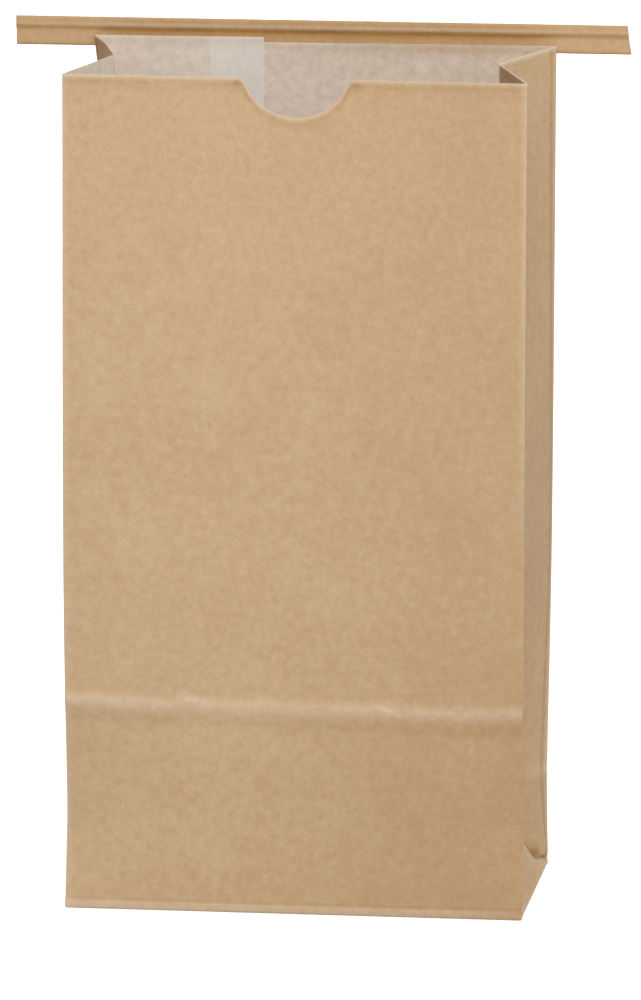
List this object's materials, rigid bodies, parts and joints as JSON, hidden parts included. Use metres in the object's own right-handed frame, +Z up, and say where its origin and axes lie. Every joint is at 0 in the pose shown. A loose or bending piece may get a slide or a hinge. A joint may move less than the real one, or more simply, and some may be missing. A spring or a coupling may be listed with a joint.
{
  "type": "stand-up coffee bag",
  "caption": "Open kraft paper bag with side gussets, a folded flat base, a thumb notch in its front edge and a wired tie strip along the back of its mouth.",
  "frame": {"origin": "middle of the base, on the surface that the bag stands on", "axes": "+Z up to the mouth, -Y out of the front panel, +X to the right seen from the front"},
  "size_m": [0.204, 0.0719, 0.2854],
  "materials": {
    "lined_kraft": "matt brown kraft with a pale lining bonded to its inside",
    "tie_paper": "smooth brown kraft",
    "tie_wire": "plain annealed steel"
  },
  "bodies": {
    "root": {"bag": "lined_kraft", "tie_strip": "tie_paper", "tie_wire_upper": "tie_wire", "tie_wire_lower": "tie_wire"}
  },
  "joints": []
}
